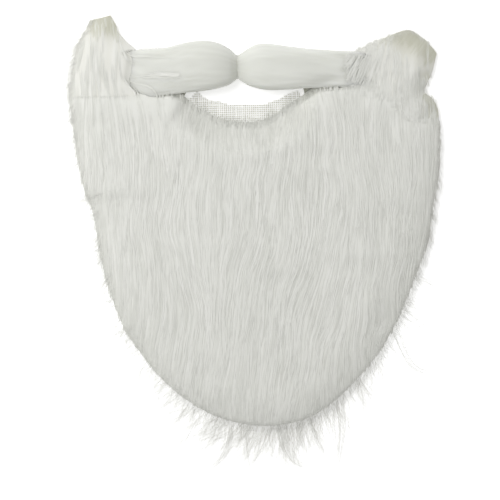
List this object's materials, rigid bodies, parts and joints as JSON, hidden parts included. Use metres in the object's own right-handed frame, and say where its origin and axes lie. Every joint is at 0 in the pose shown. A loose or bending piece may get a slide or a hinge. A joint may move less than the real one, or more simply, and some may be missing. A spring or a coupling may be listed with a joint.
{
  "type": "fake beard",
  "caption": "White long-fur fake beard, a shield of fur on a net cloth with ear tabs, a mouth opening and a padded roll moustache pinched at its middle.",
  "frame": {"origin": "middle of the beard's box, on the surface that it lies on", "axes": "+X across the beard, to the right of the one who looks at it; +Y from the chin up to the ears; +Z away from the surface"},
  "size_m": [0.31, 0.381, 0.026],
  "materials": {
    "net_cloth": "open square weave of matt white thread",
    "long_pile_fur": "long wavy synthetic fur with a soft sheen",
    "combed_fibre": "smooth combed fibre with a soft sheen"
  },
  "bodies": {
    "root": {"net_backing": "net_cloth", "beard_pile": "long_pile_fur", "ear_fur_left": "long_pile_fur", "ear_fur_right": "long_pile_fur", "moustache": "combed_fibre"}
  },
  "joints": []
}
